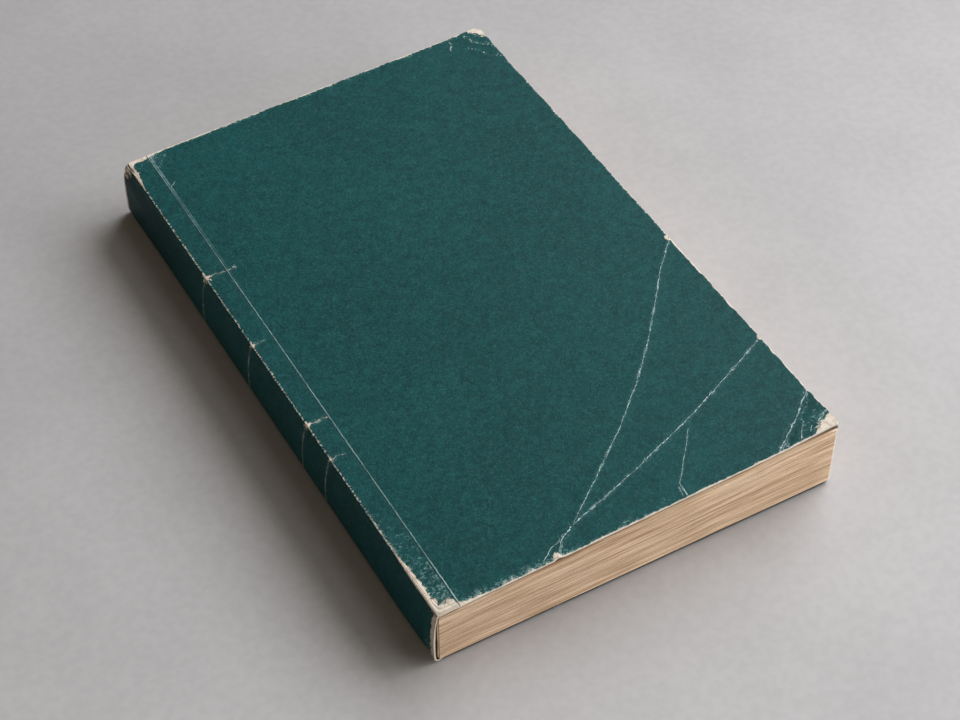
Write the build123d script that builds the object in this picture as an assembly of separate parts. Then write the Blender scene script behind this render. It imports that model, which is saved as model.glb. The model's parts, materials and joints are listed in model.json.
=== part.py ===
from build123d import *
import math
import os

# A worn paperback book, lying closed on its back cover.
# +X runs from the spine to the fore edge, +Y from the tail edge to the head edge, and +Z is up.
# The origin is on the surface that the book lies on, under the middle of the book. Lengths are millimetres.

# Trimmed size of the book, over its covers
book_height = 178.0  # tail edge to head edge
cover_width = 111.5  # spine fold to fore edge
spine_thickness = 16.8  # at the spine fold, where the glue holds the pages tight
fore_thickness = 20.9  # at the fore edge, where the old pages have swollen

# Cover card, folded round the pages as one sheet
card = 0.45  # thickness of the card
spine_lean = 1.0  # reading has rolled the spine: the fold beside the back cover stands out this far
spine_bulge = 0.7  # how far the spine bows out past a straight line between its two folds
top_fold_radius = 0.3  # inside the fold beside the front cover
bottom_fold_radius = 0.9  # inside the fold beside the back cover, rounder with handling

# Pressed score line beside the spine, where a cover turns
score_offset = 6.1  # spine fold to score line
score_gap = 0.2  # width of the score at the inside of the card
score_bevel = 0.2  # each lip of the score is bevelled by this on the outside
hinge_lift = 0.05  # the cover turns this far above the outside of the card

# Corners of the covers, rounded and creased by use
fore_head_radius = 2.6
fore_tail_radius = 1.1
tail_ear_width = 16.5  # tail dog-ear, along the tail edge
tail_ear_height = 13.0  # tail dog-ear, along the fore edge
tail_ear_lift = 0.9  # its tip stands this far above the rest of the cover
head_ear_width = 10.0  # head dog-ear, along the head edge
head_ear_height = 13.5  # head dog-ear, along the fore edge
head_ear_lift = 0.5

# Glue
glue_film = 0.1  # side glue that holds 6 mm of each cover to the first and the last page
glue_film_setback = 0.6  # the side glue stops this far short of the score line
glue_skin = 0.7  # glue left on the back of the pages at the two ends of the spine
end_recess = 5.0  # the spine has come loose from its glue this far in from each end

# Page edges: the cut leaves part in fine gaps that fan out from the spine
page_gap_count = 13
page_gap_width = 0.09
page_gap_depth = 0.22
page_gap_wander = 0.3  # how unevenly the gaps are spaced, as a share of their spacing
page_gap_overcut = 1.0  # the gaps are cut from this far outside the pages

# Thickness of the front cover, measured straight up, as it rises towards the fore edge
slope = (fore_thickness - spine_thickness) / cover_width
card_rise = card * math.hypot(1, slope)

# The spine's inside is an arc: what it spans, its radius, and how far it stands out past the front fold
spine_rise = spine_thickness + slope * card - card_rise - card
spine_chord = math.hypot(spine_rise, spine_lean)
spine_radius = ((spine_chord / 2) ** 2 + spine_bulge**2) / (2 * spine_bulge)
spine_reach = spine_lean / 2 + spine_radius - (spine_radius - spine_bulge) * spine_rise / spine_chord

# Places that follow from the sizes
fold_x = (spine_reach - cover_width) / 2  # the spine fold beside the front cover
fore_x = fold_x + cover_width
back_x = fold_x + card
score_x = fold_x + score_offset
half_height = book_height / 2


def front_outside(x):
    return spine_thickness + slope * (x - fold_x)


def front_inside(x):
    return front_outside(x) - card_rise


def pages_top(x):
    return front_inside(x) - glue_film


pages_bottom = card + glue_film


def rectangle(left, low, right, high):
    return Pos((left + right) / 2, (low + high) / 2) * Rectangle(right - left, high - low)


def along_spine(section, half_length=half_height):
    return extrude(Plane.XZ * section, amount=half_length, both=True)


def upright_slab(corners, height_at, thickness):
    # A flat tilted sheet with upright edges: corners are its outline seen from above
    points = [Vector(x, y, height_at(x, y)) for x, y in corners]
    edges = [Line(a, b) for a, b in zip(points, points[1:] + points[:1])]
    return Solid.extrude(Face(Wire(edges)), Vector(0, 0, thickness))


def round_upright_edge(solid, x, y, radius):
    edges = solid.edges().filter_by(Axis.Z)
    return fillet(edges.sort_by_distance((x, y, 0))[0], radius)


# Space inside the folded cover, as seen from the tail, open past the score line
def inside_of_cover():
    end_x = score_x + 2 * card
    low = (back_x - spine_lean, card)
    high = (back_x, front_inside(back_x))
    outline = [
        Line(low, (end_x, card)),
        Line((end_x, card), (end_x, front_inside(end_x))),
        Line((end_x, front_inside(end_x)), high),
        SagittaArc(high, low, -spine_bulge),
    ]
    space = make_face(outline)
    space = fillet(space.vertices().group_by(Axis.X)[0].sort_by(Axis.Y)[0], bottom_fold_radius)
    return fillet(space.vertices().sort_by_distance(high)[0], top_fold_radius)


# Spine with the two strips that stay glued down, out to the score lines
def make_spine_wrap():
    space = inside_of_cover()
    lip_x = score_x - score_gap / 2
    keep = rectangle(fold_x - 2 * spine_reach, -card, lip_x, spine_thickness + fore_thickness)
    section = (offset(space, amount=card) - space) & keep
    lips = section.vertices().group_by(Axis.X)[-1].sort_by(Axis.Y)
    section = chamfer([lips[0], lips[-1]], score_bevel)
    return along_spine(section)


def make_spine_glue():
    low = pages_bottom + bottom_fold_radius
    high = pages_top(back_x) - top_fold_radius
    crescent = inside_of_cover() & rectangle(back_x - 2 * spine_reach, low, back_x, high)
    skin = crescent & rectangle(back_x - glue_skin, low, back_x, high)
    return along_spine(crescent, half_height - end_recess) + along_spine(skin)


def side_glue_corners():
    near_x = back_x + bottom_fold_radius
    far_x = score_x - glue_film_setback
    return [(near_x, -half_height), (far_x, -half_height), (far_x, half_height), (near_x, half_height)]


def make_front_side_glue():
    return upright_slab(side_glue_corners(), lambda x, y: pages_top(x), glue_film)


def make_back_side_glue():
    return upright_slab(side_glue_corners(), lambda x, y: card, glue_film)


# The pages, pressed into one block: a wedge, thicker at the fore edge
def make_text_block():
    outline = Polyline(
        (back_x, pages_bottom),
        (fore_x, pages_bottom),
        (fore_x, pages_top(fore_x)),
        (back_x, pages_top(back_x)),
        close=True,
    )
    section = make_face(outline)
    corners = section.vertices().group_by(Axis.X)[0].sort_by(Axis.Y)
    section = fillet(corners[0], bottom_fold_radius)
    corners = section.vertices().sort_by_distance((back_x, pages_top(back_x)))
    section = fillet(corners[0], top_fold_radius)
    block = along_spine(section)
    for number in range(1, page_gap_count + 1):
        block -= page_gap(number)
    return block


def page_gap(number):
    # A slot round the three cut edges, between two leaves: it rises with its share of the thickness
    wander = page_gap_wander * math.sin(2.4 * number * number)
    share = (number + wander) / (page_gap_count + 1)

    def height_at(x, y):
        return pages_bottom + share * (pages_top(x) - pages_bottom) - page_gap_width / 2

    start_x = back_x + bottom_fold_radius
    past_x, past_y = fore_x + page_gap_overcut, half_height + page_gap_overcut
    deep_x, deep_y = fore_x - page_gap_depth, half_height - page_gap_depth
    slot = [
        (start_x, -past_y),
        (past_x, -past_y),
        (past_x, past_y),
        (start_x, past_y),
        (start_x, deep_y),
        (deep_x, deep_y),
        (deep_x, -deep_y),
        (start_x, -deep_y),
    ]
    return upright_slab(slot, height_at, page_gap_width)


def dog_ear(side, width, height, lift, radius):
    # A corner of the front cover, bent up along a straight crease; side is -1 at the tail and 1 at the head
    edge_y = side * half_height
    on_fore = (fore_x, edge_y - side * height)
    on_end = (fore_x - width, edge_y)
    tip = (fore_x, edge_y)
    reach = math.hypot(width, height)

    def height_at(x, y):
        inward = (fore_x - x) * height + (edge_y - y) * side * width
        return front_inside(x) + lift * (1 - inward / (width * height))

    corners = [on_fore, on_end, tip] if side > 0 else [on_fore, tip, on_end]
    ear = upright_slab(corners, height_at, card_rise)
    return on_fore, on_end, round_upright_edge(ear, *tip, min(radius, reach / 4))


def make_front_cover():
    lip_x = score_x + score_gap / 2
    tail_fore, tail_end, tail_ear = dog_ear(
        -1, tail_ear_width, tail_ear_height, tail_ear_lift, fore_tail_radius
    )
    head_fore, head_end, head_ear = dog_ear(
        1, head_ear_width, head_ear_height, head_ear_lift, fore_head_radius
    )
    outline = [(lip_x, -half_height), tail_end, tail_fore, head_fore, head_end, (lip_x, half_height)]
    panel = upright_slab(outline, lambda x, y: front_inside(x), card_rise)
    lip = panel.edges().filter_by(Axis.Y).group_by(Axis.X)[0].sort_by(Axis.Z)[-1]
    return chamfer(lip, score_bevel) + tail_ear + head_ear


def make_back_cover():
    lip_x = score_x + score_gap / 2
    outline = [
        (lip_x, -half_height),
        (fore_x, -half_height),
        (fore_x, half_height),
        (lip_x, half_height),
    ]
    panel = upright_slab(outline, lambda x, y: 0, card)
    panel = round_upright_edge(panel, fore_x, -half_height, fore_tail_radius)
    panel = round_upright_edge(panel, fore_x, half_height, fore_head_radius)
    lip = panel.edges().filter_by(Axis.Y).group_by(Axis.X)[0].sort_by(Axis.Z)[0]
    return chamfer(lip, score_bevel)


parts = {
    "text_block": make_text_block(),
    "spine_glue": make_spine_glue(),
    "front_side_glue": make_front_side_glue(),
    "back_side_glue": make_back_side_glue(),
    "spine_wrap": make_spine_wrap(),
    "front_cover": make_front_cover(),
    "back_cover": make_back_cover(),
}

os.makedirs("parts", exist_ok=True)
for name, solid in parts.items():
    export_step(solid, f"parts/{name}.step")

# The two covers turn about lines along Y, at the outside of the card over each score line
print("front hinge", score_x, front_outside(score_x) + hinge_lift)
print("back hinge", score_x, -hinge_lift)
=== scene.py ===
import json
import math

import bmesh
import bpy
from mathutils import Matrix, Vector, noise


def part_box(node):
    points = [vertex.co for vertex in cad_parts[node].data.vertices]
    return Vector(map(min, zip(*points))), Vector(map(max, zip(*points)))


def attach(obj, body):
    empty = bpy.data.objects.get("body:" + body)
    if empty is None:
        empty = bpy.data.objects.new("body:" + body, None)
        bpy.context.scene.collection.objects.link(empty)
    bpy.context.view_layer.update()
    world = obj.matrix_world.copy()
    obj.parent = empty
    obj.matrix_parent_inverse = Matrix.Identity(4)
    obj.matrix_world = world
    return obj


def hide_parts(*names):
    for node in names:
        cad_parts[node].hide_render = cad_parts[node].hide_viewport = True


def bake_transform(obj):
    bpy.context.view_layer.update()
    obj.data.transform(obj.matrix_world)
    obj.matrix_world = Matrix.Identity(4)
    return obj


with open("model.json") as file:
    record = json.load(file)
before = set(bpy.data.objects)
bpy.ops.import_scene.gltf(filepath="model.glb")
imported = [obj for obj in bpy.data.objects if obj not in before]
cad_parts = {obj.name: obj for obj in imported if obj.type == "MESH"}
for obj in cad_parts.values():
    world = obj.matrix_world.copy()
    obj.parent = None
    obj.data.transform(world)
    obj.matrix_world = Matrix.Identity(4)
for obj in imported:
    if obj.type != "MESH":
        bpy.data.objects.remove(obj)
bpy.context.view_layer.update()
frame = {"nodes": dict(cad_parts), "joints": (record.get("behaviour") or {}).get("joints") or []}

mm = 0.001

# Where the book's surfaces are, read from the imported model. The spine is at -X and the tail edge at -Y.
hinges = {joint["name"]: joint["pos_m"] for joint in frame["joints"]}
blockLow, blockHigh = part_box("text_block")
backLow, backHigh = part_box("back_cover")
card = backHigh.z - backLow.z  # thickness of the cover
half = backHigh.y  # from the middle of the book to its tail or head edge
foreX = backHigh.x
foldX = blockLow.x - card  # fold between the spine and the front cover
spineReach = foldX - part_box("spine_wrap")[0].x  # how far the spine stands out past that fold
scoreX = hinges["front_cover_hinge"][0]
hingeLift = -hinges["back_cover_hinge"][2]
scoreTop = hinges["front_cover_hinge"][2] - hingeLift
glueFilm = blockLow.z - card
foreTop = blockHigh.z + glueFilm + card
slope = (foreTop - scoreTop) / (foreX - scoreX)
band = 0.35 * mm  # the covers have narrow strips this far either side of a score line, where a real cover bends
touch = 0.01 * mm  # closer than this counts as the same place


def coverTop(x):
    return scoreTop + slope * (x - scoreX)


print("frame read: cover", round((foreX - foldX) / mm, 1), "by", round(2 * half / mm, 1), "mm")


# helpers for shaping meshes
def clearSelection():
    if bpy.context.mode != "OBJECT":
        bpy.ops.object.mode_set(mode="OBJECT")
    bpy.ops.object.select_all(action="DESELECT")


def named(name):
    made = bpy.context.object
    made.name = made.data.name = name
    return made


def pickEdges(obj, test):  # in edit mode: selects only the edges that pass the test
    bpy.ops.mesh.select_mode(type="EDGE")
    bpy.ops.mesh.select_all(action="DESELECT")
    shape = bmesh.from_edit_mesh(obj.data)
    for edge in shape.edges:
        if test(edge.verts[0].co, edge.verts[1].co):
            edge.select_set(True)
    bmesh.update_edit_mesh(obj.data)


def pickLeftOf(obj, limit):
    pickEdges(obj, lambda first, second: max(first.x, second.x) < limit)


def addSheet(name, left, right, columns, rows):  # a flat grid in the XY plane, as long as the book
    clearSelection()
    bpy.ops.mesh.primitive_grid_add(
        x_subdivisions=columns, y_subdivisions=rows, size=1, location=((left + right) / 2, 0, 0)
    )
    sheet = named(name)
    sheet.scale = (right - left, 2 * half, 1)
    bpy.ops.object.transform_apply(location=True, rotation=False, scale=True)
    return sheet


def extrudeBy(dx, dz):
    bpy.ops.mesh.extrude_region_move(TRANSFORM_OT_translate={"value": (dx, 0, dz)})


def selectOnly(obj):
    clearSelection()
    obj.select_set(True)
    bpy.context.view_layer.objects.active = obj


def applyAll(obj):
    selectOnly(obj)
    for modifier in list(obj.modifiers):
        bpy.ops.object.modifier_apply(modifier=modifier.name)


def thicken(obj, thickness, materials):  # downwards from the outside: slots are outside, inside, cut edge
    for material in materials:
        obj.data.materials.append(material)
    sheet = obj.modifiers.new("thickness", "SOLIDIFY")
    sheet.thickness = thickness
    sheet.offset = -1
    sheet.material_offset = 1
    sheet.material_offset_rim = 2
    applyAll(obj)


def hideSeam(obj, test):  # the end faces where the spine meets a cover take the outside's colour
    for face in obj.data.polygons:
        if face.material_index == 2 and test(face.center.x):
            face.material_index = 0


def smoothShade(obj, degrees=35):
    selectOnly(obj)
    bpy.ops.object.shade_smooth_by_angle(angle=math.radians(degrees))


def keepPlace(obj):  # each point's place in millimetres, which stays with it when a cover turns
    place = obj.data.attributes.new("place", "FLOAT_VECTOR", "POINT")
    for point, vertex in zip(place.data, obj.data.vertices):
        point.vector = vertex.co / mm


def keepField(obj, name, vectors):
    field = obj.data.attributes.new(name, "FLOAT_VECTOR", "POINT")
    field.data.foreach_set("vector", [value for vector in vectors for value in vector])


def ripple(x, y, size, seed):  # smooth noise from -1 to 1, with bumps of about this size in mm
    return noise.noise(Vector((x / mm / size, y / mm / size, seed)))


def fade(value, start, end):  # 0 before start, 1 after end, smooth between
    share = min(1.0, max(0.0, (value - start) / (end - start)))
    return share * share * (3 - 2 * share)


# wear that shapes the covers and marks them, in mm from the middle of the book
longFold = [(56.5, -13.1), (47.8, -22.0), (40.9, -30.4), (31.8, -41.3), (22.3, -51.3), (10.7, -61.9)]
foldMarks = {
    # layer (folds in one layer lie well apart), how thin it is, and the points that it runs through
    "long": (0, 1.5, longFold + [(-15.1, -82.2)]),
    "lower": (1, 1.15, [(56.5, -55.0), (40.5, -62.4), (23.9, -69.3), (7.4, -75.1), (-15.1, -82.2)]),
    "joined": (3, 0.8, [(-15.1, -82.2), (-19.6, -84.5), (-23.2, -89.0)]),
    "joinedSide": (2, 1.5, [(-19.6, -84.5), (-23.0, -85.3), (-26.6, -88.0)]),
    "short": (2, 2.0, [(24.8, -70.4), (20.9, -75.5), (13.1, -84.5), (12.8, -88.9)]),
    "shortSide": (3, 1.9, [(12.4, -84.9), (11.7, -88.6)]),
    "ear": (0, 0.8, [(56.5, -75.3), (50.8, -80.1), (43.3, -85.6), (38.8, -88.9)]),
    "earSide": (4, 1.4, [(43.3, -85.6), (41.2, -88.9)]),
    "earInner": (2, 1.4, [(49.7, -83.4), (47.2, -85.9), (45.2, -88.8)]),
    "earMiddle": (3, 1.3, [(50.6, -85.5), (48.5, -87.7)]),
    "earOuter": (1, 1.1, [(56.4, -83.4), (51.5, -86.2)]),
    "nick": (0, 1.4, [(-48.5, 73.6), (-46.2, 75.4)]),
}
softCreases = [  # pale scuffed creases where the corners were bent
    [(50.9, 87.9), (51.6, 84.0), (54.0, 81.3), (56.4, 79.8)],
    [(49.2, 82.9), (51.2, 79.8), (53.1, 76.7), (56.0, 74.5)],
    [(44.0, 83.6), (45.5, 85.5), (46.0, 88.0)],
    [(54.5, -78.6), (51.6, -80.7), (48.6, -83.4)],
    [(56.0, -80.3), (54.0, -81.9), (51.0, -84.4)],
]
crossMarks = {
    # cracks across the spine: place along the book, faintness, where they end on the front, size of the star
    "head": (36.9, 0.0, -46.2, 1.5),
    "middle": (9.0, 0.12, -51.0, 0.95),
    "tail": (-22.0, 0.0, -49.2, 1.2),
    "tailFaint": (-34.8, 0.12, -50.8, 0.7),
}
crackSlant = 0.07  # the cracks drift towards the head as they run down the spine


def acrossFold(x, y, points):  # signed distance in mm to a fold; places beyond its ends count as far off
    hereX, hereY = x / mm, y / mm
    best = 1e9
    for number, ((ax, ay), (bx, by)) in enumerate(zip(points, points[1:])):
        runX, runY = bx - ax, by - ay
        length = math.hypot(runX, runY)
        along = ((hereX - ax) * runX + (hereY - ay) * runY) / length
        across = (runX * (hereY - ay) - runY * (hereX - ax)) / length
        past = max(-along, along - length, 0.0)
        away = math.hypot(across, past)
        if (number == 0 and along < 0) or (number == len(points) - 2 and along > length):
            away = abs(across) + 30 * past
        if away < abs(best):
            best = math.copysign(away, across)
    return best


def foldLayers(x, y):  # signed distance to the nearest fold in each layer
    nearest = [50.0] * 6
    for layer, thin, points in foldMarks.values():
        found = acrossFold(x, y, points) * thin
        if abs(found) < abs(nearest[layer]):
            nearest[layer] = found
    return nearest


def nearFold(x, y):
    return min(abs(acrossFold(x, y, points)) for layer, thin, points in foldMarks.values())


corners = {
    "tailEar": {"width": 16.5, "height": 13.0, "lift": 0.82, "round": 1.2},
    "headEar": {"width": 10.0, "height": 13.5, "lift": 0.45, "round": 2.7},
}


def earShare(x, y, ear, side):  # 1 at the tip of a turned-up corner, 0 at its crease and beyond
    along = (foreX - x) / mm / ear["width"]
    up = (half - side * y) / mm / ear["height"]
    return max(0.0, 1 - along - up)


def coverRelief(x, y):  # how far the front cover stands above its plane
    tail = earShare(x, y, corners["tailEar"], -1)
    head = earShare(x, y, corners["headEar"], 1)
    rise = corners["tailEar"]["lift"] * tail ** 0.8 + corners["headEar"]["lift"] * head ** 1.1
    for name in ("long", "lower", "joined", "short"):
        layer, thin, points = foldMarks[name]
        rise += 0.1 / thin * max(0.0, 1 - abs(acrossFold(x, y, points)) / 2.4) ** 1.6
    rise += 0.04 * (1 + ripple(x, y, 34, 3.1)) * fade(x, scoreX + 0.5 * mm, scoreX + 9 * mm)
    rise -= 0.06 * math.exp(-(((x - scoreX) / mm + 0.05) / 0.15) ** 2)  # the pressed score line
    return rise * mm


def roundCorner(x, y, radius, side):
    # squares up to the corner are drawn onto its arc; side is 1 at the head and -1 at the tail
    cx, cy = foreX - radius, side * (half - radius)
    u, v = x - cx, (y - cy) * side
    if u <= 0 or v <= 0:
        return x, y
    pull = max(u, v) / math.hypot(u, v)
    return cx + u * pull, cy + side * v * pull


def wornEdge(x, y):  # nibbles the three free edges inwards
    depth = 0.08  # mm
    foreBite = 0.5 * depth * max(0.0, 0.3 + 0.7 * ripple(0, y, 5.5, 5) + 0.5 * ripple(0, y, 14, 6))
    endBite = depth * max(0.0, 0.3 + 0.7 * ripple(x, 0, 4, 7) + 0.5 * ripple(x, 0, 12, 8))
    for foldY in (-13.1, -55.2, -75.3):  # small notches where the folds reach the fore edge
        foreBite += 0.15 * max(0.0, 1 - abs(y / mm - foldY) / 1.3)
    if y < 0:
        endBite += 0.4 * max(0.0, 1 - abs(x / mm + 22.9) / 1.2)
    nearFore = fade(x, foreX - 1.0 * mm, foreX)
    nearEnd = fade(abs(y), half - 1.0 * mm, half)
    return x - (foreBite + 0.05) * mm * nearFore, y - math.copysign((endBite + 0.05) * mm, y) * nearEnd


def frontWear(x, y):  # how bare the front is (1 is the border of bare paper), and how scuffed
    fore, tail, head = (foreX - x) / mm, (half + y) / mm, (half - y) / mm
    past = max((x - scoreX) / mm, 0.0)
    bare = -1.0
    tips = (  # bare corners: how far they reach along each of their two edges, and how hollow they are
        (fore, 7.2, tail, 3.9, 1.35),
        (fore, 3.9, head, 5.0, 1.25),
        (past, 8.5, tail, 1.4, 0.8),
        (past, 13.0, head, 1.0, 0.8),
    )
    for across, acrossReach, along, alongReach, hollow in tips:
        gone = (max(across, 0.0) / acrossReach) ** hollow + (max(along, 0.0) / alongReach) ** hollow
        bare = max(bare, 2 - gone)
    for foldY, reach in ((-13.1, 1.3), (-55.1, 1.1), (-75.3, 0.8)):  # where folds reach the fore edge
        bare = max(bare, 1.8 - math.hypot(fore / reach, (y / mm - foldY) / (1.2 * reach)))
    bare = max(bare, 1.8 - math.hypot((x / mm + 23.0) / 1.3, tail / 2.4))
    tailEar = earShare(x, y, corners["tailEar"], -1)
    headEar = earShare(x, y, corners["headEar"], 1)
    soft = min(abs(acrossFold(x, y, points)) for points in softCreases)
    scuffs = (
        fade(tailEar, 0.0, 0.1) * (0.32 + 0.5 * tailEar),
        fade(headEar, 0.0, 0.2) * (0.3 + 0.4 * headEar),
        fade(soft, 0.7, 0.1) * (0.95 if y > 0 else 0.72),
        fade(tail, 4.4, 0.3) * (0.4 + 0.5 * ripple(x, 0, 8, 31) + 0.3 * fade(past, 40, 20)),
        fade(fore, 1.8, 0.1) * (0.35 + 0.6 * ripple(0, y, 9, 32)),
        fade(head, 2.4, 0.1) * (0.4 + 0.6 * ripple(x, 0, 9, 33)),
        fade(past, 9.0, 1.0) * fade(head, 13, 3) * 0.72,
        fade(past, 2.0, 0.3) * (0.2 + 0.4 * ripple(0, y, 12, 34)),
        fade(past, 4.5, 0.5) * fade(tail, 9, 2) * 0.6,
    )
    return bare, max(0.0, *scuffs)


def spineWear(y, ridge):  # ridge counts mm from the spine's top fold, and is below 0 down the spine
    tail, head = (half + y) / mm, (half - y) / mm
    bare = -1.0
    ends = ((tail, (1.3, 2.7), (0.45, 1.6), 17.0), (head, (1.15, 1.2), (0.3, 1.0), 9.0))
    for end, onTop, onSide, run in ends:  # a band along the fold that turns round the corner
        reach, endReach = onTop if ridge > 0.2 else onSide
        reach *= fade(end, run + 7, run - 5)
        share = (reach / max(abs(ridge - 0.2), 0.1)) ** 2 + (endReach / max(end, 0.1)) ** 2
        bare = max(bare, 2 - 1 / math.sqrt(share + 1e-6))
    if ridge < 0.2:  # where the head end of the spine was crushed
        bare = max(bare, 2 - math.hypot(head / 4.3, max(-ridge - 0.6, 0.0) / 3.0))
    for along, faint, endX, star in crossMarks.values():  # a ragged star where a crack meets the fold
        across, ahead = ridge - 0.3, y / mm - along
        points = 0.5 + 0.8 * abs(math.cos(2.5 * math.atan2(ahead, across) + along)) ** 2
        bare = max(bare, 1.9 - math.hypot(across, ahead) / (star * points))
    if ridge > 0:
        scuff = 0.32 * fade(tail, 65, 25) + 0.3 * fade(tail, 28, 10) + 0.26 * fade(tail, 6, 1)
        scuff += 0.35 * fade(head, 16, 4) + 0.25 * ripple(0, y, 14, 41) + 0.5 * fade(ridge, 1.7, 0.3)
    else:
        scuff = fade(tail, 7, 2.5) * (0.35 + 0.35 * fade(-ridge, 5, 12))
        scuff += 0.7 * fade(tail, 17, 5) * fade(-ridge, 14.8, 16.2)
    return max(bare, -1.0), max(scuff, 0.0)


# node helpers
work = {"tree": None}  # the material or group that new nodes go into


def addNode(kind, **settings):
    made = work["tree"].nodes.new("ShaderNode" + kind)
    for setting, value in settings.items():
        setattr(made, setting, value)
    return made


def feed(socket, value):  # links a socket, or types a value in
    if isinstance(value, bpy.types.NodeSocket):
        work["tree"].links.new(value, socket)
    else:
        socket.default_value = value


def addFed(kind, *values, **settings):  # a node with its first sockets fed
    made = addNode(kind, **settings)
    for socket, value in zip(made.inputs, values):
        feed(socket, value)
    return made.outputs


def calc(operation, *values, clamp=False):
    return addFed("Math", *values, operation=operation, use_clamp=clamp)[0]


def plus(first, second):
    return calc("ADD", first, second)


def minus(first, second):
    return calc("SUBTRACT", first, second)


def times(first, second):
    return calc("MULTIPLY", first, second)


def apart(first, second):  # how far two values lie apart
    return calc("ABSOLUTE", minus(first, second))


def chain(operation, values):
    result = values[0]
    for value in values[1:]:
        result = calc(operation, result, value)
    return result


def most(*values):
    return chain("MAXIMUM", values)


def least(*values):
    return chain("MINIMUM", values)


def vectorCalc(operation, *values):
    outputs = addFed("VectorMath", *values, operation=operation)
    return outputs["Value" if operation in ("LENGTH", "DOT_PRODUCT") else "Vector"]


def split(vector):
    return addFed("SeparateXYZ", vector)


def joinUp(*values):
    return addFed("CombineXYZ", *values)[0]


def between(value, low, high, start=0.0, end=1.0):  # smooth step from start to end
    return addFed("MapRange", value, low, high, start, end, interpolation_type="SMOOTHSTEP")[0]


def grain(place, scale, detail, stretch=(1, 1, 1), roughness=0.5, twist=0.0):
    made = addNode("TexNoise")
    made.inputs["Distortion"].default_value = twist
    feed(made.inputs["Vector"], vectorCalc("MULTIPLY", place, stretch))
    made.inputs["Scale"].default_value = scale
    made.inputs["Detail"].default_value = detail
    made.inputs["Roughness"].default_value = roughness
    return made.outputs[0]


def patchy(place, scale, detail, *steps, **noiseSettings):  # noise, taken through smooth steps
    return between(grain(place, scale, detail, **noiseSettings), *steps)


def wobble(place, scale, detail, reach, **noiseSettings):  # noise about zero
    return patchy(place, scale, detail, 0.25, 0.75, -reach, reach, **noiseSettings)


def tint(amount, first, second):
    made = addNode("Mix", data_type="RGBA")
    feed(made.inputs[0], amount)
    feed(made.inputs[6], first)
    feed(made.inputs[7], second)
    return made.outputs[2]


def startGroup(name, inputs, outputs):
    group = work["tree"] = bpy.data.node_groups.new(name, "ShaderNodeTree")
    for label, kind in inputs.items():
        group.interface.new_socket(label, in_out="INPUT", socket_type="NodeSocket" + kind)
    for label in outputs:
        group.interface.new_socket(label, in_out="OUTPUT", socket_type="NodeSocketFloat")
    return group, group.nodes.new("NodeGroupInput").outputs, group.nodes.new("NodeGroupOutput").inputs


def useGroup(group, **values):
    made = addNode("Group", node_tree=group)
    for label, value in values.items():
        feed(made.inputs[label], value)
    return made.outputs


def startMaterial(name, roughness, specular):
    material = bpy.data.materials.new(name)
    material.use_nodes = True
    work["tree"] = material.node_tree
    shader = material.node_tree.nodes["Principled BSDF"]
    shader.inputs["Roughness"].default_value = roughness
    shader.inputs["Specular IOR Level"].default_value = specular
    return material, shader


def meshField(name, output="Vector"):
    return addNode("Attribute", attribute_type="GEOMETRY", attribute_name=name).outputs[output]


def bumpInto(shader, height):  # height in mm
    bump = addNode("Bump")
    bump.inputs["Distance"].default_value = mm
    feed(bump.inputs["Height"], height)
    feed(shader.inputs["Normal"], bump.outputs[0])


# node groups shared by the materials
def makeFurrowLine():  # distance from a place to the straight line between two points
    inputs = {"Place": "Vector", "Start": "Vector", "End": "Vector"}
    group, source, sink = startGroup("furrowLine", inputs, ["Distance"])
    run = vectorCalc("SUBTRACT", source["End"], source["Start"])
    here = vectorCalc("SUBTRACT", source["Place"], source["Start"])
    along = vectorCalc("DOT_PRODUCT", here, run)
    share = calc("DIVIDE", along, vectorCalc("DOT_PRODUCT", run, run), clamp=True)
    reach = addNode("VectorMath", operation="SCALE")
    feed(reach.inputs[0], run)
    feed(reach.inputs["Scale"], share)
    away = vectorCalc("SUBTRACT", here, reach.outputs[0])
    feed(sink["Distance"], vectorCalc("LENGTH", away))
    return group


def makeFoldWear():  # colour broken along a fold, from the distance to it in mm, with a painted shadow line along one side
    inputs = {"Place": "Vector", "Distance": "Float", "Width": "Float"}
    group, source, sink = startGroup("foldWear", inputs, ["Bare", "Rubbed", "Dark", "Height"])
    place, distance = source["Place"], source["Distance"]
    uneven = patchy(place, 1.0, 3, 0.38, 0.66, 0.35, 1.6, roughness=0.6)
    width = times(source["Width"], uneven)
    line = between(calc("DIVIDE", distance, width), 1.5, 0.4)
    line = times(line, patchy(place, 0.8, 4, 0.42, 0.58, 0.2, 1.0, roughness=0.7))
    side = apart(distance, 0.36)
    strand = times(between(side, 0.12, 0.02), patchy(place, 0.36, 2, 0.55, 0.62, 0.0, 0.5))
    fluff = patchy(place, 2.0, 2, 0.54, 0.68)
    hairs = times(fluff, between(distance, 1.3, 0.1, 0.0, 0.6))
    # painted shadow: a dark line along one side of the fold
    dark = times(between(side, 0.25, 0.0), between(distance, 0.12, 0.3))
    feed(sink["Bare"], most(line, strand))
    feed(sink["Rubbed"], most(hairs, between(distance, 1.1, 0.1, 0.0, 0.12)))
    feed(sink["Dark"], dark)
    feed(sink["Height"], between(distance, 0.45, 0.0, 0.0, 0.07))
    return group


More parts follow.
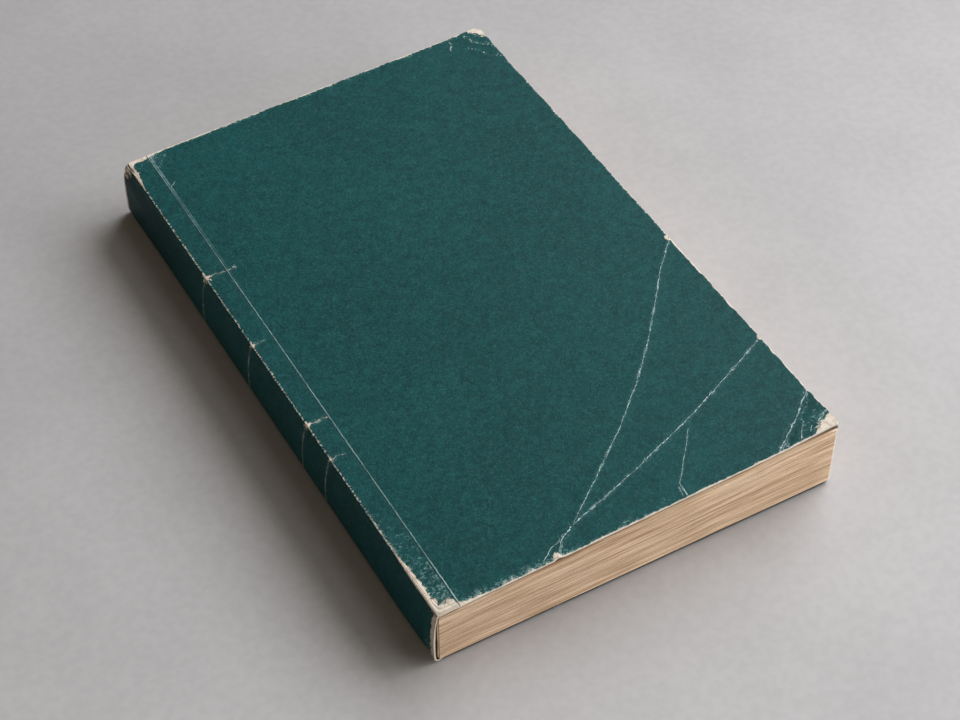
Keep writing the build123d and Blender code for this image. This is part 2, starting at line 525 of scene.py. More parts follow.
def makeFrayedEdge():  # a cut edge where the colour has worn back to paper
    inputs = {"Place": "Vector", "Distance": "Float", "Stroke": "Vector", "Line": "Float", "Reach": "Float"}
    group, source, sink = startGroup("frayedEdge", inputs, ["Bare", "Rubbed"])
    place, distance = source["Place"], source["Distance"]
    stroked = vectorCalc("MULTIPLY", place, source["Stroke"])
    fine = grain(stroked, 1.0, 4, roughness=0.65, twist=0.6)
    coarse = grain(place, 0.22, 3, roughness=0.6)
    width = times(source["Line"], between(coarse, 0.36, 0.64, 0.35, 1.8))
    line = between(distance, plus(width, 0.07), minus(width, 0.07))
    reach = times(source["Reach"], between(coarse, 0.36, 0.62, 0.3, 1.6))
    far = calc("DIVIDE", distance, reach)
    ragged = minus(fine, times(far, 0.32))
    blots = times(between(ragged, 0.42, 0.52), between(far, 0.55, 0.1, 0.0, 0.85))
    strokes = times(between(ragged, 0.3, 0.5), between(far, 1.2, 0.1, 0.0, 0.85))
    feed(sink["Bare"], most(line, blots))
    feed(sink["Rubbed"], strokes)
    return group


def makeRaggedWear():  # bare and scuffed patches, broken up by noise, from the fields kept in the mesh
    inputs = {"Place": "Vector", "Field": "Vector"}
    group, source, sink = startGroup("raggedWear", inputs, ["Bare", "Scuffed", "Ring"])
    place = source["Place"]
    bare, scuff = split(source["Field"])[:2]
    ragged = plus(bare, wobble(place, 0.75, 5, 0.3, roughness=0.68))
    feed(sink["Bare"], between(ragged, 0.93, 1.07))
    speck = grain(place, 0.95, 5, roughness=0.75, twist=1.2)
    limit = calc("MULTIPLY_ADD", scuff, -0.27, 0.68)
    feed(sink["Scuffed"], between(minus(speck, limit), 0.0, 0.1))
    rings = joinUp(times(bare, 5.0), times(split(place)[1], 0.12))
    feed(sink["Ring"], patchy(rings, 1.0, 2, 0.46, 0.62))
    return group


def makeCardFibre():  # the mottled, felted look of uncoated card
    group, source, sink = startGroup("cardFibre", {"Place": "Vector"}, ["Tone", "Fleck", "Height"])
    place = source["Place"]
    cloud = grain(place, 0.035, 2)
    patch = grain(place, 0.33, 3)
    felt = grain(place, 1.1, 4, roughness=0.7, twist=1.3)
    hairs = grain(place, 0.62, 1, twist=2.4)
    tone = calc("MULTIPLY_ADD", cloud, 0.35, times(patch, 0.7))
    tone = calc("MULTIPLY_ADD", felt, 1.7, tone)
    feed(sink["Tone"], between(tone, 0.9, 1.9))
    thread = between(apart(hairs, 0.5), 0.11, 0.02)
    feed(sink["Fleck"], times(thread, between(felt, 0.42, 0.62, 0.1, 1.0)))
    feed(sink["Height"], calc("MULTIPLY_ADD", felt, 0.035, times(thread, 0.01)))
    return group


furrowLine = makeFurrowLine()
foldWear = makeFoldWear()
frayedEdge = makeFrayedEdge()
raggedWear = makeRaggedWear()
cardFibre = makeCardFibre()


# printed card
coverLook = {
    "deep": (0.0005, 0.033, 0.035, 1),
    "light": (0.004, 0.077, 0.080, 1),
    "rubbed": (0.15, 0.30, 0.30, 1),
    "chalk": (0.54, 0.74, 0.77, 1),
    "paper": (0.80, 0.735, 0.64, 1),
    "paperDull": (0.54, 0.46, 0.375, 1),
    # near black: painted shade in the score groove, beside the folds, in the crushed furrows and down the
    # spine's side near the head; the shoulder's dark notches take it too
    "pressed": (0.0015, 0.009, 0.010, 1),
    # brown for painted shade in the crease at the spine's tail corner
    "grime": (0.10, 0.06, 0.035, 1),
    "roughness": 0.56,
    "bareRoughness": 0.92,
    "specular": 0.11,
    "foldWidth": 0.1,  # mm
    "crackWidth": 0.12,
    # where the head end of the spine was crushed: the ends of two furrows, as (0, y, ridge)
    "furrows": (((0, 89.6, 0.1), (0, 82.2, -0.35)), ((0, 89.6, -2.6), (0, 83.8, -1.3))),
}


def nearestFold(place):  # distance to the nearest fold, from the layers kept in the mesh
    bent = plus(wobble(place, 0.2, 1, 0.13), wobble(place, 1.3, 4, 0.13, roughness=0.6))
    layers = [layer for name in ("foldsOne", "foldsTwo") for layer in split(meshField(name))]
    distance = least(*(calc("ABSOLUTE", plus(layer, bent)) for layer in layers))
    near = split(meshField("wear"))[2]  # far from every fold, a change of side isn't a fold
    return plus(distance, between(near, 1.4, 2.0, 0.0, 5.0))


def nearestCross(place, ridge):  # distance to the cracks that cross the spine
    x, y, z = split(place)
    onTop = between(ridge, -1.2, 0.4)
    shaken = plus(y, times(wobble(place, 0.45, 3, 0.45), onTop))
    slanted = calc("MULTIPLY_ADD", least(ridge, 0.0), crackSlant, shaken)
    distances = []
    for along, faint, endX, star in crossMarks.values():
        past = most(times(minus(x, endX), 3.0), 0.0)
        away = plus(apart(slanted, along), past)
        distances.append(plus(away, times(onTop, faint)))
    thinner = between(calc("ABSOLUTE", ridge), 0.3, 2.0, 0.5, 0.95)
    return times(least(*distances), thinner)


def keep(masks, mask, weight=1.0):
    masks.append(mask if weight == 1 else times(mask, weight))


def addFrays(place, head, tail, side, marks):  # the trimmed edges
    bare, rubbed = marks[:2]
    x, y, z = split(place)
    tailReach = between(x, -38.0, -14.0, 2.7, 1.0)  # the tail edge is most frayed near the spine
    edges = [(tail, (1.2, 0.8, 1), 0.21, tailReach, 0.8), (head, (1.2, 0.8, 1), 0.25, 1.4, 0.8)]
    if side:
        line = between(y, -8.0, -15.0, 0.09, 0.24)
        edges.append((minus(foreX / mm, x), (0.8, 1.2, 1), line, 0.8, 0.6))
    for distance, stroke, line, reach, weight in edges:
        fray = useGroup(frayedEdge, Place=place, Distance=distance, Stroke=stroke, Line=line, Reach=reach)
        keep(bare, fray["Bare"])
        keep(rubbed, fray["Rubbed"], weight)


def addSpineFold(place, head, tail, marks):  # ridge counts mm from the top fold, as in spineWear
    bare, rubbed, chalked, dark = marks
    x, y, z = split(place)
    onStrip = minus(x, foldX / mm)
    down = minus(coverTop(foldX) / mm, z)
    ridge = minus(most(onStrip, 0.0), most(down, 0.0))
    beads = grain(place, 1.5, 5, roughness=0.75)
    wide = between(beads, 0.42, 0.64, -0.06, 0.38)
    fromLine = apart(ridge, 0.36)
    shoulder = between(fromLine, plus(wide, 0.07), minus(wide, 0.07))
    keep(bare, times(shoulder, patchy(place, 0.8, 2, 0.38, 0.58, 0.45, 1.0)))
    keep(chalked, shoulder, 0.6)
    notch = times(between(beads, 0.47, 0.4), between(fromLine, 0.8, 0.3))
    keep(dark, notch, 0.75)
    # painted shade down the spine's side towards the head end
    keep(dark, times(between(head, 60, 15), between(ridge, -0.6, -2.0)), 0.6)
    lowFold = between(apart(z, 0.75), 0.26, 0.06)
    keep(rubbed, times(between(tail, 15.0, 8.0, 0.12, 0.8), lowFold))
    return ridge, beads


def cornerCreaseShade(ridge, beads, tail):  # painted brown shade along a crease in the bare card at the spine's tail corner
    fromCrease = calc("ABSOLUTE", plus(ridge, between(beads, 0.3, 0.7, 0.05, 0.35)))
    return times(between(fromCrease, 0.26, 0.08), between(tail, 13.0, 6.0, 0.0, 0.95))


def crushedHead(y, ridge, beads):  # distance to the nearest furrow
    here = joinUp(0.0, y, ridge)
    found = [
        useGroup(furrowLine, Place=here, Start=start, End=end)["Distance"]
        for start, end in coverLook["furrows"]
    ]
    return plus(least(*found), between(beads, 0.3, 0.7, -0.16, 0.16))


def scoreLine(place, head, side):  # painted shade in the pressed groove, with rubbed lips
    x, y, z = split(place)
    uneven = patchy(place, 0.9, 3, 0.35, 0.65, -0.04, 0.04, stretch=(0.3, 1, 1))
    fromScore = plus(minus(x, scoreX / mm), uneven)
    groove = between(apart(fromScore, -0.11), 0.25, 0.08)
    lip = between(apart(fromScore, 0.2), 0.19, 0.08)
    lip = times(lip, between(head, 75.0, 35.0, 1.0, 0.66))
    outer = between(apart(fromScore, 0.75), 0.3, 0.1)
    outer = times(outer, between(head, 70.0, 15.0, 0.0, 0.4))
    lipWear = patchy(place, 0.35, 4, 0.36, 0.62, 0.4, 1.0, stretch=(0.2, 1, 1), roughness=0.7)
    lips = times(most(lip, outer), lipWear)
    if side >= 0:
        upper = between(z, 8.0, 9.0)
        return times(groove, upper), times(lips, upper)
    return groove, lips


def makePrintedCard(name, side):  # side 1 is the front, 0 the spine with its strips, -1 the back
    material, shader = startMaterial(name, coverLook["roughness"], coverLook["specular"])
    place = meshField("place")
    x, y, z = split(place)
    fibre = useGroup(cardFibre, Place=place)
    height = fibre["Height"]
    tail = plus(y, half / mm)
    head = minus(half / mm, y)
    bare, rubbed, chalked, dark = marks = [], [], [], []
    addFrays(place, head, tail, side, marks)
    if side == 0:
        ridge, beads = addSpineFold(place, head, tail, marks)
        crush = crushedHead(y, ridge, beads)
        # painted shade in the crushed furrows
        keep(dark, between(crush, 0.4, 0.12))
        height = plus(height, between(crush, 0.6, 0.0, 0.0, -0.25))
    if side >= 0:
        field = meshField("wear")
        ragged = useGroup(raggedWear, Place=place, Field=field)
        keep(bare, ragged["Bare"])
        keep(rubbed, ragged["Scuffed"], 0.85)
        strong = between(split(field)[1], 0.6, 1.1, 0.0, 0.85)
        keep(bare, times(ragged["Scuffed"], strong))
    groove, lips = scoreLine(place, head, side)
    nearEnd = between(least(head, tail), 20.0, 3.0, 0.25, 0.85)
    keep(chalked, times(lips, nearEnd))
    keep(rubbed, lips, 0.95)
    if side == 1:
        distance = nearestFold(place)
        fold = useGroup(foldWear, Place=place, Distance=distance, Width=coverLook["foldWidth"])
        keep(chalked, fold["Bare"])
        keep(rubbed, fold["Rubbed"])
        # the folds' painted shadow lines
        keep(dark, fold["Dark"], 0.35)
        height = plus(height, fold["Height"])
    if side >= 0:
        distance = nearestCross(place, minus(x, foldX / mm) if side else ridge)
        crack = useGroup(foldWear, Place=place, Distance=distance, Width=coverLook["crackWidth"])
        keep(bare, crack["Bare"], 0.85)
        keep(rubbed, crack["Rubbed"])
        height = plus(height, crack["Height"])

    colour = tint(fibre["Tone"], coverLook["deep"], coverLook["light"])
    colour = tint(most(times(fibre["Fleck"], 0.1), *rubbed), colour, coverLook["rubbed"])
    if dark:
        # painted shade, together with the shoulder's dark notches
        colour = tint(times(most(*dark), 0.85), colour, coverLook["pressed"])
    colour = tint(most(*chalked), colour, coverLook["chalk"])
    bareAll = most(*bare)
    clean = patchy(place, 0.7, 4, 0.3, 0.58, roughness=0.65)
    if side == 0:  # the bare corners have wrinkles that run round them
        clean = times(clean, between(ragged["Ring"], 0.0, 1.0, 1.0, 0.25))
        height = calc("MULTIPLY_ADD", ragged["Ring"], times(bareAll, -0.08), height)
    colour = tint(bareAll, colour, tint(clean, coverLook["paperDull"], coverLook["paper"]))
    if side == 0:
        # painted shade along the crease at the tail corner
        colour = tint(cornerCreaseShade(ridge, beads, tail), colour, coverLook["grime"])
        # painted shade, deepest along the crushed furrows
        colour = tint(between(crush, 0.3, 0.1, 0.0, 0.8), colour, coverLook["pressed"])
    # painted shade in the score line's groove
    colour = tint(times(groove, 0.7), colour, coverLook["pressed"])
    feed(shader.inputs["Base Color"], colour)
    roughness = between(bareAll, 0.0, 1.0, coverLook["roughness"], coverLook["bareRoughness"])
    feed(shader.inputs["Roughness"], roughness)
    bumpInto(shader, calc("MULTIPLY_ADD", bareAll, -0.05, height))
    return material


# unprinted card, paper and glue
pageLook = {
    "dark": (0.50, 0.315, 0.18, 1),
    "light": (0.97, 0.745, 0.54, 1),
    # painted shade in the gaps between bundles of leaves
    "gap": (0.26, 0.155, 0.09, 1),
    "stain": (0.58, 0.39, 0.25, 1),
    # painted shade under the front cover's edge
    "underCover": (0.16, 0.09, 0.05, 1),
    # the fore edge painted darker to hold back the key light that falls on it
    "handled": (0.34, 0.235, 0.15, 1),
    # painted highlight down the pages' fore corner
    "rubbedCorner": (0.97, 0.88, 0.78, 1),
    "streaks": ((300, 0.08), (95, 0.05), (15, 0.025)),  # how many, and how fast they change along an edge
}
cardStocks = {
    "insideCard": {"light": (0.66, 0.57, 0.43, 1), "dark": (0.50, 0.39, 0.26, 1)},
    "cutCard": {"light": (0.80, 0.755, 0.69, 1), "dark": (0.62, 0.54, 0.45, 1), "stain": 0.35},
    # near black: painted shade on the back cover's cut edge along the floor and inside the hollow spine
    "dirtyCard": {"light": (0.05, 0.047, 0.04, 1), "dark": (0.015, 0.018, 0.016, 1)},
    "spineRim": {
        "light": (0.80, 0.74, 0.66, 1),
        "dark": (0.62, 0.53, 0.43, 1),
        "stain": 0.3,
        "soiled": (0.04, 0.032, 0.025, 1),  # painted shade along the bottom of the book, where it meets the floor
    },
    "leafPaper": {
        "light": (0.70, 0.59, 0.44, 1),
        "dark": (0.56, 0.43, 0.29, 1),
        "stain": 0.45,
        "browned": (0.30, 0.18, 0.10, 1),  # old paper browns from its trimmed edges inwards; this brown also stands for painted shade under the front cover
    },
    # dark brown edges of the loose leaves: painted shade under the front cover's edge
    "leafRim": {"light": (0.34, 0.21, 0.12, 1), "dark": (0.20, 0.12, 0.07, 1), "stain": 0.45},
}


def makePlainCard(name, light, dark, stain=0.5, browned=None, soiled=None):
    material, shader = startMaterial(name, 0.85, 0.2)
    place = meshField("place")
    fibre = useGroup(cardFibre, Place=place)
    patches = patchy(place, 0.045, 4, 0.35, 0.75, roughness=0.6)
    amount = calc("MULTIPLY_ADD", patches, stain, times(fibre["Tone"], 0.35))
    colour = tint(amount, light, dark)
    x, y, z = split(place)
    if browned:
        nearest = minus(half / mm, calc("ABSOLUTE", y))
        nearest = least(nearest, minus(foreX / mm, x))
        # browning from the edges, darkened further as painted shade under the cover
        colour = tint(between(nearest, 7.0, 0.0, 0.0, 0.8), colour, browned)
        # painted shade along the leaf's edges, under the cover
        colour = tint(between(nearest, 1.2, 0.2, 0.0, 0.6), colour, pageLook["underCover"])
    # painted shade low on the strip's cut edge, beside the floor
    if soiled:
        pastFold = between(x, foldX / mm + 0.4, foldX / mm + 1.6)
        colour = tint(times(between(z, 0.75, 0.4), pastFold), colour, soiled)
    feed(shader.inputs["Base Color"], colour)
    bumpInto(shader, fibre["Height"])
    return material


def makePageEdges():  # the trimmed edges of the leaves, with streaks that fan out from the spine
    material, shader = startMaterial("pageEdges", 0.88, 0.2)
    place = meshField("place")
    x, y, z = split(place)
    leaf = meshField("leaf", "Fac")
    along = plus(x, y)
    swayed = plus(leaf, patchy(place, 0.04, 1, 0.3, 0.7, -0.008, 0.008))
    fine, middling, broad = [
        grain(joinUp(times(along, run), times(swayed, count)), 1.0, 2, roughness=0.6)
        for count, run in pageLook["streaks"]
    ]
    tone = calc("MULTIPLY_ADD", fine, 0.9, times(middling, 0.9))
    tone = calc("MULTIPLY_ADD", broad, 0.8, tone)
    colour = tint(between(tone, 1.12, 1.48), pageLook["dark"], pageLook["light"])
    foreEdge = between(x, foreX / mm - 0.8, foreX / mm - 0.3)
    # painted highlight down the pages' fore corner, where the key light catches the rounded edge
    fromCorner = most(minus(foreX / mm, x), plus(half / mm, y))
    cornerWidth = between(leaf, 0.94, 0.972, 0.85, 3.5)  # widest just under the front cover
    pale = between(calc("DIVIDE", fromCorner, cornerWidth), 1.0, 0.5, 0.0, 0.85)
    shades = {
        # painted shade in the gaps between leaves
        "gap": between(middling, 0.38, 0.31, 0.0, 0.7),
        "stain": patchy(place, 0.07, 3, 0.45, 0.8, 0.0, 0.4),
        # painted shade on the top leaves, under the front cover
        "underCover": between(leaf, 0.982, 0.996, 0.0, 0.85),
        # the fore edge, apart from the last mm by the tail, painted darker against the key light that falls
        # full on it
        "handled": times(foreEdge, between(y, -88.6, -87.0, 0.0, 0.62)),
        "rubbedCorner": times(pale, between(leaf, 0.985, 0.978)),
    }
    for shade, mask in shades.items():
        colour = tint(mask, colour, pageLook[shade])
    feed(shader.inputs["Base Color"], colour)
    bumpInto(shader, times(fine, 0.12))
    return material


def makeGlue():  # tan where the spine has come away from it, dark brown against the backs of the leaves, and near black towards the spine as painted shade in the gap under it
    material, shader = startMaterial("agedGlue", 0.5, 0.3)
    coords = addNode("TexCoord").outputs["Object"]
    place = vectorCalc("MULTIPLY", coords, (1000, 1000, 1000))
    tone = patchy(place, 0.6, 3, 0.3, 0.7)
    colour = tint(tone, (0.40, 0.27, 0.16, 1), (0.62, 0.47, 0.31, 1))
    fromPages = minus(blockLow.x / mm, split(place)[0])
    colour = tint(between(fromPages, 0.3, 0.12, 0.0, 0.85), colour, (0.12, 0.055, 0.02, 1))
    # painted shade: the glue near black towards the spine, in the gap under it
    colour = tint(between(fromPages, 0.42, 0.56, 0.0, 0.92), colour, (0.03, 0.018, 0.01, 1))
    feed(shader.inputs["Base Color"], colour)
    bumpInto(shader, times(grain(place, 1.4, 3), 0.1))
    return material


frontPrint = makePrintedCard("frontPrint", 1)
spinePrint = makePrintedCard("spinePrint", 0)
backPrint = makePrintedCard("backPrint", -1)
stock = {name: makePlainCard(name, **look) for name, look in cardStocks.items()}
pageEdges = makePageEdges()
agedGlue = makeGlue()
print("materials made")


# front cover
frontSheet = {"columns": 150, "rows": 236, "bandSteps": 7}


def addCoverSheet(name, settings):  # stays in edit mode; adds narrow strips across the score line
    left = scoreX + band
    cover = addSheet(name, left, foreX, settings["columns"], settings["rows"])
    bpy.ops.object.mode_set(mode="EDIT")
    pickLeftOf(cover, left + touch)
    for step in range(settings["bandSteps"]):
        extrudeBy(-2 * band / settings["bandSteps"], 0)
    return cover


def makeFrontCover():
    cover = addCoverSheet("frontCover", frontSheet)
    bpy.ops.object.mode_set(mode="OBJECT")
    for vertex in cover.data.vertices:
        x, y = wornEdge(vertex.co.x, vertex.co.y)
        x, y = roundCorner(x, y, corners["tailEar"]["round"] * mm, -1)
        x, y = roundCorner(x, y, corners["headEar"]["round"] * mm, 1)
        vertex.co = (x, y, coverTop(x) + coverRelief(x, y))
    places = [(vertex.co.x, vertex.co.y) for vertex in cover.data.vertices]
    layers = [foldLayers(x, y) for x, y in places]
    keepField(cover, "foldsOne", [found[:3] for found in layers])
    keepField(cover, "foldsTwo", [found[3:] for found in layers])
    keepField(cover, "wear", [(*frontWear(x, y), nearFold(x, y)) for x, y in places])
    thicken(cover, card, (frontPrint, stock["insideCard"], stock["cutCard"]))
    hideSeam(cover, lambda x: x < scoreX - band + touch)
    smoothShade(cover)
    keepPlace(cover)
    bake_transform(cover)
    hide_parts("front_cover")


makeFrontCover()
print("front cover made")


# spine, with the strips that stay glued to the first and last page
spineSheet = {
    "rows": 360,
    "stripColumns": 8,
    "bowSteps": 22,
    "topFold": 0.6,
    "lowFold": 1.2,
    "foldSteps": 7,
    "lean": 1.0,  # mm: reading has rolled the spine, so its fold beside the back cover stands out
    "bow": 0.72,
    "endRun": 22,  # this close to an end, lean and bow change by these amounts
    "headChange": (0.35, 0.45),
    "tailChange": (-0.25, -0.1),
    "stop": 14,  # how sharply the bow stops at the CAD spine's reach
}


def spineOut(y, z):  # how far the outside of the spine stands out past its top fold
    down = 1 - min(1.0, max(0.0, z / coverTop(foldX)))
    inner = half - spineSheet["endRun"] * mm
    atHead, atTail = fade(y, inner, half), fade(-y, inner, half)
    headLean, headBow = spineSheet["headChange"]
    tailLean, tailBow = spineSheet["tailChange"]
    lean = spineSheet["lean"] + headLean * atHead + tailLean * atTail
    bow = spineSheet["bow"] + headBow * atHead + tailBow * atTail
    out = lean * down + bow * 4 * down * (1 - down)
    stop = spineSheet["stop"]
    if down == 0:
        return 0.0
    return -math.log(math.exp(-stop * out) + math.exp(-stop * spineReach / mm)) / stop * mm


def spinePath():  # seen from the tail: round the top fold, down the spine and round the low fold
    top = coverTop(foldX)
    topFold, lowFold = spineSheet["topFold"] * mm, spineSheet["lowFold"] * mm
    turns = [
        [(foldX + topFold, top), (foldX, top), (foldX, top - topFold)],
        [(foldX, lowFold), (foldX, 0), (foldX + lowFold, 0)],
    ]
    curves = []
    for turn in turns:
        a, b, c = (Vector(point) for point in turn)
        shares = [step / spineSheet["foldSteps"] for step in range(spineSheet["foldSteps"] + 1)]
        curves.append([a * (1 - t) ** 2 + b * 2 * t * (1 - t) + c * t * t for t in shares])
    steps = spineSheet["bowSteps"]
    heights = [top - topFold + (lowFold - top + topFold) * step / steps for step in range(1, steps)]
    return curves[0] + [Vector((foldX, z)) for z in heights] + curves[1]


def makeSpine():
    right = scoreX - band
    top = coverTop(foldX)
    path = spinePath()
    wrap = addSheet("spineWrap", path[0].x, right, spineSheet["stripColumns"], spineSheet["rows"])
    bpy.ops.object.mode_set(mode="EDIT")
    pickLeftOf(wrap, path[0].x + touch)
    for a, b in zip(path, path[1:]):
        extrudeBy(b.x - a.x, b.y - a.y)
    for step in range(spineSheet["stripColumns"]):
        extrudeBy((right - path[-1].x) / spineSheet["stripColumns"], 0)
    bpy.ops.mesh.select_all(action="SELECT")
    bpy.ops.transform.translate(value=(0, 0, top))
    bpy.ops.object.mode_set(mode="OBJECT")
    normals = [vertex.normal.copy() for vertex in wrap.data.vertices]
    wear = []
    for vertex, normal in zip(wrap.data.vertices, normals):
        x, y, z = vertex.co
        up = fade(z, top / 2, top)
        ridge = (max(x - foldX, 0) * (2 * up - 1) - max(top - z, 0)) / mm
        wear.append((*spineWear(y, ridge), 0.0))
        z += slope * (x - foldX) * up
        shift = 0.0
        for along, faint, endX, star in crossMarks.values():
            away = abs(y / mm - along + crackSlant * min(ridge, 0.0)) / 0.6
            shift -= (0.15 - faint) * 0.7 * math.exp(-away * away) * (1 if ridge < 1 else 0.4)
        shift += 0.07 * ripple(y, z, 1.8, 11) * fade(abs(ridge), 3.0, 0.6)
        for lineY, lineRidge in ((0.06, 0.1), (0.2, -2.6)):  # two furrows where the head end was crushed
            furrow = lineRidge + lineY * (half - y) / mm
            deep = 0.36 * fade(y, half - 7 * mm, half - 3 * mm)
            shift -= deep * math.exp(-(((ridge - furrow) / 0.34) ** 2))
        shift -= 0.2 * fade(-y, half - 5 * mm, half) * fade(abs(ridge), 2.2, 0.4)
        endBite = 0.1 * mm * max(0.0, 0.5 + ripple(x + z, 0, 3, 9))
        endBite += fade(abs(ridge), 1.4, 0.2) * (0.3 if y > 0 else 0.25) * mm
        endBite += 0.05 * mm
        y -= math.copysign(endBite * fade(abs(y), half - 3 * mm, half), y)
        out = spineOut(y, z) * (1 if up else fade(x, foldX + 5 * mm, foldX + 0.5 * mm))
        vertex.co = Vector((x - out, y, z)) + normal * min(shift, 0.0) * mm
    keepField(wrap, "wear", wear)
    # the inside of the hollow spine takes the near-black painted shade
    thicken(wrap, card, (spinePrint, stock["dirtyCard"], stock["spineRim"]))
    hideSeam(wrap, lambda x: x > right - touch)
    smoothShade(wrap)
    keepPlace(wrap)
    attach(wrap, "book_block")
    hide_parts("spine_wrap")


makeSpine()
print("spine made")


# back cover
backSheet = {"columns": 60, "rows": 90, "bandSteps": 7, "tailRound": 1.2, "headRound": 2.4, "press": 0.1}


def makeBackCover():
    cover = addCoverSheet("backCover", backSheet)
    bpy.ops.mesh.select_all(action="SELECT")
    bpy.ops.mesh.flip_normals()
    bpy.ops.object.mode_set(mode="OBJECT")
    for vertex in cover.data.vertices:
        x, y = wornEdge(vertex.co.x, vertex.co.y)
        x, y = roundCorner(x, y, backSheet["tailRound"] * mm, -1)
        x, y = roundCorner(x, y, backSheet["headRound"] * mm, 1)
        press = backSheet["press"] * math.exp(-(((x - scoreX) / mm) / 0.17) ** 2)
        vertex.co = (x, y, press * mm)
    # the cut edge takes the near-black painted shade where it meets the floor
    thicken(cover, card, (backPrint, stock["insideCard"], stock["dirtyCard"]))
    hideSeam(cover, lambda x: x < scoreX - band + touch)
    smoothShade(cover)
    keepPlace(cover)
    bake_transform(cover)
    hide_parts("back_cover")


makeBackCover()
print("back cover made")


# pages
pages = {
    "slices": 96,  # bundles of leaves that stand out or lie back at the trimmed edges
    "alongRows": 100,
    "acrossColumns": 64,
    "ridge": 0.12,  # mm
    "topSetback": 0.4,  # the leaves just under the loose ones lie back this far
    "cornerRound": 0.7,
    "looseLeaves": 3,
    "leafColumns": 54,
    "leafRows": 84,
    "leafInset": (0.5, 0.15),  # how far the lowest leaf lies back, and how much less the next one does
    "leafCorners": (0.9, 1.6),  # radius at the tail and at the head
    "leafGap": 0.075,
    "leafThickness": 0.055,
    "topCurl": (0.24, 0.15),  # how far the top leaf curls up at the tail and at the head corner
    "innerCurl": (0.02, 0.02),
}


def pagesTop(x):
    return blockHigh.z - slope * (foreX - x)


def drawRowIn(place, edge, cornerRound):  # the last two rows before an edge shape the rounded corners
    if edge - 4.0 * mm < place < edge - touch:
        return edge - cornerRound * (0.4 if place > edge - 2.2 * mm else 1)
    return place


def makePages():
    clearSelection()
    spineX = blockLow.x
    bpy.ops.mesh.primitive_cube_add(size=1, location=((spineX + foreX) / 2, 0, 0.5))
    block = named("textBlock")
    block.scale = (foreX - spineX, 2 * half, 1)
    bpy.ops.object.transform_apply(location=True, rotation=False, scale=True)
    bpy.ops.object.mode_set(mode="EDIT")
    for axis, cuts in ((2, pages["slices"]), (1, pages["alongRows"]), (0, pages["acrossColumns"])):
        pickEdges(block, lambda first, second: abs((second - first).normalized()[axis]) > 0.5)
        bpy.ops.mesh.subdivide(number_cuts=cuts)
    bpy.ops.object.mode_set(mode="OBJECT")
    leaf = block.data.attributes.new("leaf", "FLOAT", "POINT")
    sink = pages["looseLeaves"] * pages["leafGap"] * mm
    cornerRound = pages["cornerRound"] * mm
    low = blockLow.z
    for vertex, share in zip(block.data.vertices, leaf.data):
        x, y, up = vertex.co
        share.value = up
        number = round(up * (pages["slices"] + 1))
        z = low + up * (pagesTop(x) - sink - low)
        inwards = 0.0
        if 0 < number < pages["slices"] + 1:
            pushed = 0.5 + ripple(number * 2.3 * mm, 0, 1.0, 21)
            drift = ripple(x + y, 0, 30, number * 0.4)
            inwards = max(0.0, pages["ridge"] * (pushed + 0.5 * drift) * mm)
        if number > pages["slices"] - 1:
            inwards = pages["topSetback"] * mm
        x = drawRowIn(x, foreX, cornerRound)
        y = math.copysign(drawRowIn(abs(y), half, cornerRound), y)
        x, y = roundCorner(x, y, cornerRound, 1 if y > 0 else -1)
        if x > foreX - touch:
            x -= inwards
        if abs(y) > half - touch:
            y -= math.copysign(inwards, y)
        vertex.co = (x, y, z)
    block.data.materials.append(pageEdges)
    block.data.materials.append(stock["leafPaper"])
    for face in block.data.polygons:
        if abs(face.normal.z) > 0.9:
            face.material_index = 1
    smoothShade(block, 25)
    keepPlace(block)
    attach(block, "book_block")
    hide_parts("text_block")
    for number in range(pages["looseLeaves"]):
        makeLooseLeaf(number)


def makeLooseLeaf(number):  # the first leaves, curled up a little at the corner under the dog-ear
    lowest, less = pages["leafInset"]
    inset = (lowest - less * number) * mm
    top = number == pages["looseLeaves"] - 1
    tailCurl, headCurl = pages["topCurl"] if top else pages["innerCurl"]
    tailRound, headRound = pages["leafCorners"]
    left = scoreX - 4 * mm
    sheet = addSheet(f"looseLeaf{number + 1}", left, foreX - inset, pages["leafColumns"], pages["leafRows"])
    rise = (number - pages["looseLeaves"] + 1) * pages["leafGap"] + pages["leafThickness"]
    for vertex in sheet.data.vertices:
        x, y = vertex.co.x, vertex.co.y * (1 - inset / half)
        curl = tailCurl * earShare(x, y, corners["tailEar"], -1) ** 1.2
        curl += headCurl * earShare(x, y, corners["headEar"], 1) ** 1.2
        x, y = roundCorner(x, y, tailRound * mm, -1)
        x, y = roundCorner(x, y, headRound * mm, 1)
        vertex.co = (x, y, pagesTop(x) + (rise + curl) * mm)
    paper = stock["leafPaper"]
    thicken(sheet, pages["leafThickness"] * mm, (paper, paper, stock["leafRim"], stock["cutCard"]))
    for face in sheet.data.polygons:  # the curled corner's edge shows pale
        curled = earShare(face.center.x, face.center.y, corners["tailEar"], -1) > 0.03
        if face.material_index == 2 and top and curled:
            face.material_index = 3
    smoothShade(sheet)
    keepPlace(sheet)
    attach(sheet, "book_block")


makePages()
for node in ("spine_glue", "front_side_glue", "back_side_glue"):
    glue = frame["nodes"][node]
    glue.data.materials.clear()
    glue.data.materials.append(agedGlue)
print("pages and glue made")


